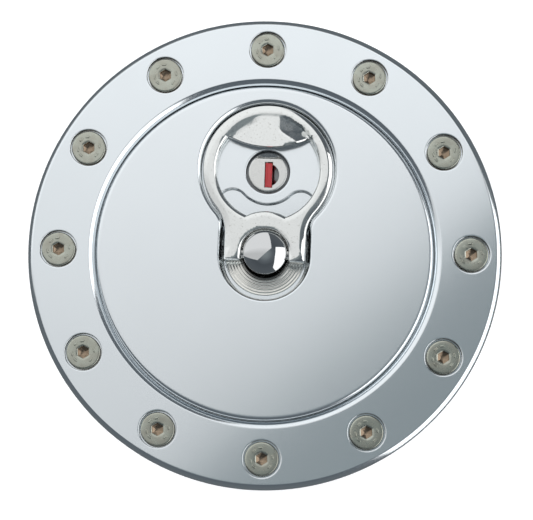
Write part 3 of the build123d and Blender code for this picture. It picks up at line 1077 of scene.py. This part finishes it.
def floor_material():
    m = Nodes("floor")
    cloud = m.noise(6, 2.0)
    tone = m.ramp(cloud, [(0.3, (0.88, 0.885, 0.89)), (0.7, (0.90, 0.905, 0.91))])
    m.link(tone, "Color", m.shader, "Base Color")
    m.shader.inputs["Roughness"].default_value = 0.9
    m.shader.inputs["Emission Color"].default_value = (1, 1, 1, 1)
    m.shader.inputs["Emission Strength"].default_value = 0.35
    return m.material


def area_light(name, place, target, width, height, radiance, colour):
    light = bpy.data.lights.new(name, "AREA")
    light.shape = "RECTANGLE"
    light.size = width
    light.size_y = height
    light.energy = radiance * math.pi * width * height
    light.color = colour
    lamp = bpy.data.objects.new(name, light)
    bpy.context.scene.collection.objects.link(lamp)
    lamp.location = place
    lamp.rotation_euler = (Vector(target) - Vector(place)).to_track_quat("-Z", "Y").to_euler()
    return lamp


FLOOR_Z_M = CAD_BOX[0][2] - 0.0005
FLOOR_HALF_M = 1.6
floor = plane("floor", [(x, y, FLOOR_Z_M) for x, y in ((-FLOOR_HALF_M, -FLOOR_HALF_M), (FLOOR_HALF_M, -FLOOR_HALF_M),
                                                       (FLOOR_HALF_M, FLOOR_HALF_M), (-FLOOR_HALF_M, FLOOR_HALF_M))],
              floor_material())
floor.visible_glossy = False


def softbox(name, corners, low, high, direction, span, colour=(1.0, 1.0, 1.0)):
    """Glowing panel seen only in reflections; its brightness grows along a direction."""
    material = bpy.data.materials.new(name)
    material.use_nodes = True
    tree = material.node_tree
    tree.nodes.clear()
    out = tree.nodes.new("ShaderNodeOutputMaterial")
    glow = tree.nodes.new("ShaderNodeEmission")
    glow.inputs["Color"].default_value = (*colour, 1)
    coords = tree.nodes.new("ShaderNodeTexCoord")
    dot = tree.nodes.new("ShaderNodeVectorMath")
    dot.operation = "DOT_PRODUCT"
    dot.inputs[1].default_value = direction
    level = tree.nodes.new("ShaderNodeMapRange")
    level.inputs["From Min"].default_value = span[0]
    level.inputs["From Max"].default_value = span[1]
    level.inputs["To Min"].default_value = low
    level.inputs["To Max"].default_value = high
    tree.links.new(coords.outputs["Object"], dot.inputs[0])
    tree.links.new(dot.outputs["Value"], level.inputs["Value"])
    tree.links.new(level.outputs["Result"], glow.inputs["Strength"])
    tree.links.new(glow.outputs["Emission"], out.inputs["Surface"])
    mesh = bpy.data.meshes.new(name)
    mesh.from_pydata(corners, [], [tuple(range(len(corners)))])
    mesh.materials.append(material)
    panel = bpy.data.objects.new(name, mesh)
    bpy.context.scene.collection.objects.link(panel)
    panel.visible_camera = False
    panel.visible_diffuse = False
    panel.visible_shadow = False


softbox("key_panel", [(0.228, 0.218, 0.6), (0.20, 3.0, 0.6), (-3.5, 3.0, 0.6), (-3.5, -0.02, 0.6),
                      (-0.27, -0.25, 0.6)],
        0.76, 1.06, (0.0, 1.0, 0.0), (0.0, 0.22), (0.985, 0.995, 1.0))
softbox("side_panel", [(0.62, -0.80, 0.0), (0.62, 0.20, 0.0), (0.62, 0.44, 0.87), (0.62, -0.15, 0.95),
                       (0.62, -0.93, 0.86)],
        1.7, 1.7, (0.0, 0.0, 1.0), (0.0, 1.0))
wash = area_light("wash", (0.0, 0.0, 2.2), (0.0, 0.0, 0.0), 4.0, 4.0, 2.4, (1.0, 1.0, 1.0))
wash.visible_glossy = False

world = bpy.data.worlds.new("studio")
world.use_nodes = True
tree = world.node_tree
background = tree.nodes["Background"]
background.inputs["Strength"].default_value = 1.0
coords = tree.nodes.new("ShaderNodeTexCoord")
split = tree.nodes.new("ShaderNodeSeparateXYZ")
shade = tree.nodes.new("ShaderNodeValToRGB")
shade.color_ramp.elements[0].position = 0.0
shade.color_ramp.elements[0].color = (0.14, 0.155, 0.165, 1)
shade.color_ramp.elements[1].position = 1.0
shade.color_ramp.elements[1].color = (0.28, 0.318, 0.33, 1)
for place, tone in ((0.55, (0.115, 0.132, 0.148, 1)), (0.80, (0.095, 0.11, 0.125, 1)),
                    (0.914, (0.15, 0.172, 0.19, 1))):
    shade.color_ramp.elements.new(place).color = tone
tree.links.new(coords.outputs["Generated"], split.inputs["Vector"])
tree.links.new(split.outputs["Z"], shade.inputs["Fac"])
tree.links.new(shade.outputs["Color"], background.inputs["Color"])
bpy.context.scene.world = world
bpy.context.scene.view_settings.view_transform = "Standard"


# ---------------------------------------------------------------- camera

def camera():
    azimuth = math.radians(5.705)
    elevation = math.radians(81.98)
    roll = math.radians(-3.563)
    distance = 0.59655
    target = Vector((0.00058, -0.00233, 0.0063))
    data = bpy.data.cameras.new("camera")
    data.sensor_width = 36.0
    data.lens = 2144.9 / 533 * 36.0
    data.clip_start = 0.01
    item = bpy.data.objects.new("camera", data)
    bpy.context.scene.collection.objects.link(item)
    direction = Vector((math.sin(azimuth) * math.cos(elevation), -math.cos(azimuth) * math.cos(elevation),
                        math.sin(elevation)))
    item.location = target + direction * distance
    forward = -direction
    right = forward.cross(Vector((0, 0, 1))).normalized()
    up = right.cross(forward)
    turned_right = right * math.cos(roll) + up * math.sin(roll)
    turned_up = up * math.cos(roll) - right * math.sin(roll)
    item.rotation_euler = Matrix((turned_right, turned_up, -forward)).transposed().to_euler()
    bpy.context.scene.camera = item


camera()
